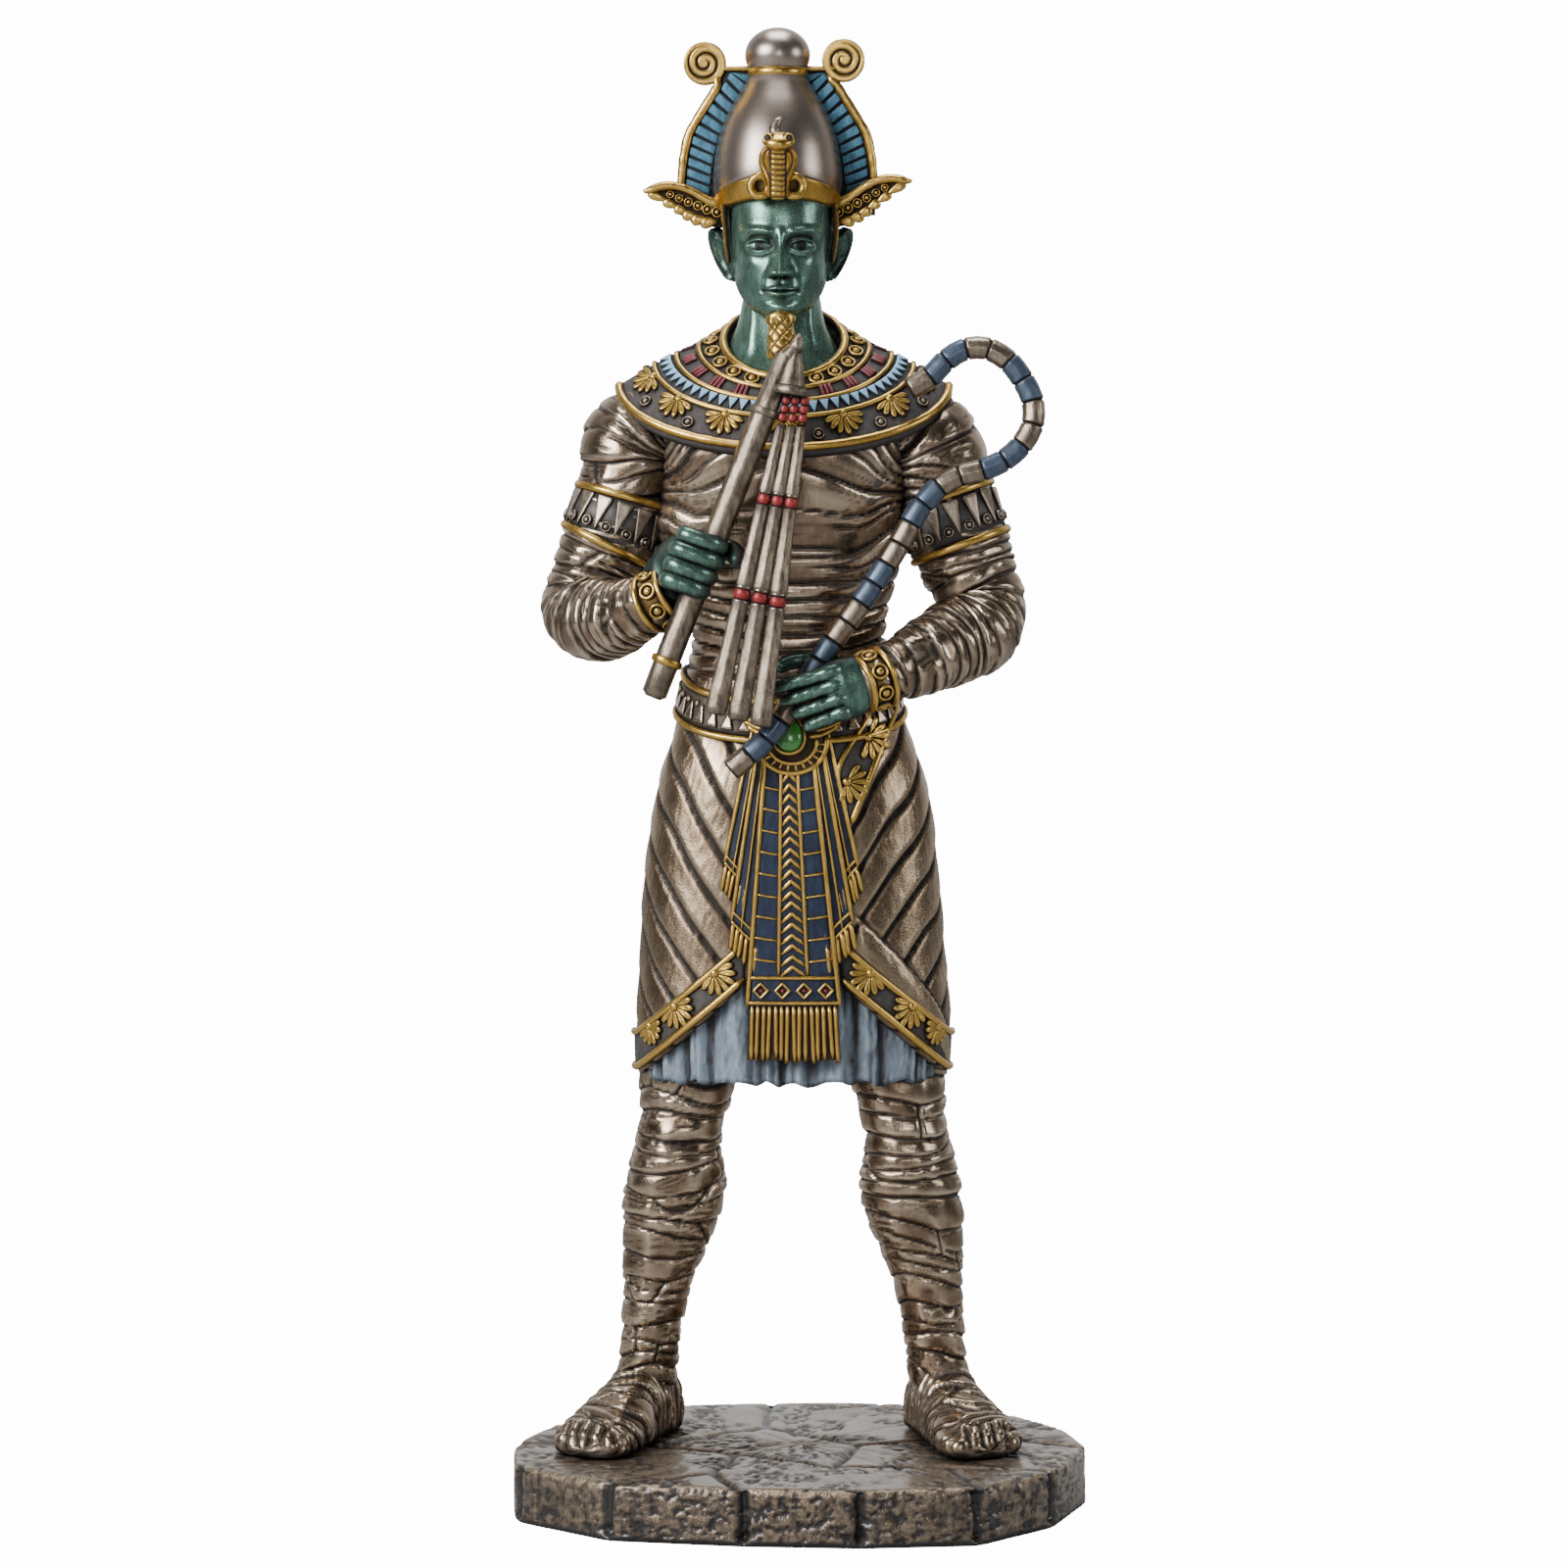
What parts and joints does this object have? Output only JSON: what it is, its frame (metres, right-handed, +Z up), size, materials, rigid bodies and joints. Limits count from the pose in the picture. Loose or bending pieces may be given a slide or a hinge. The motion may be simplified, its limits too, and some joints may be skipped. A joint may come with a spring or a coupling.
{
  "type": "osiris figure",
  "caption": "Standing Egyptian deity statuette in bronzed resin with plumed crown, bead collar, crook and flail, on a flagstone base.",
  "frame": {"origin": "middle of the base's underside", "axes": "+X to the viewer's right, +Y away from the viewer (the figure faces -Y), +Z up"},
  "size_m": [0.118, 0.092, 0.3],
  "materials": {
    "figure_bronze": "resin with bronze powder, dark wash in the hollows, rubbed high spots, painted gold, blue, red and green",
    "base_stone": "resin cast as pitted flagstones, dark brown bronze with rubbed edges",
    "crook_paint": "bronze segments painted by turns in blue",
    "flail_paint": "bronze with red beads and pale metal collars"
  },
  "bodies": {
    "root": {"figure": "figure_bronze", "base": "base_stone", "crook": "crook_paint", "flail": "flail_paint"}
  },
  "joints": []
}
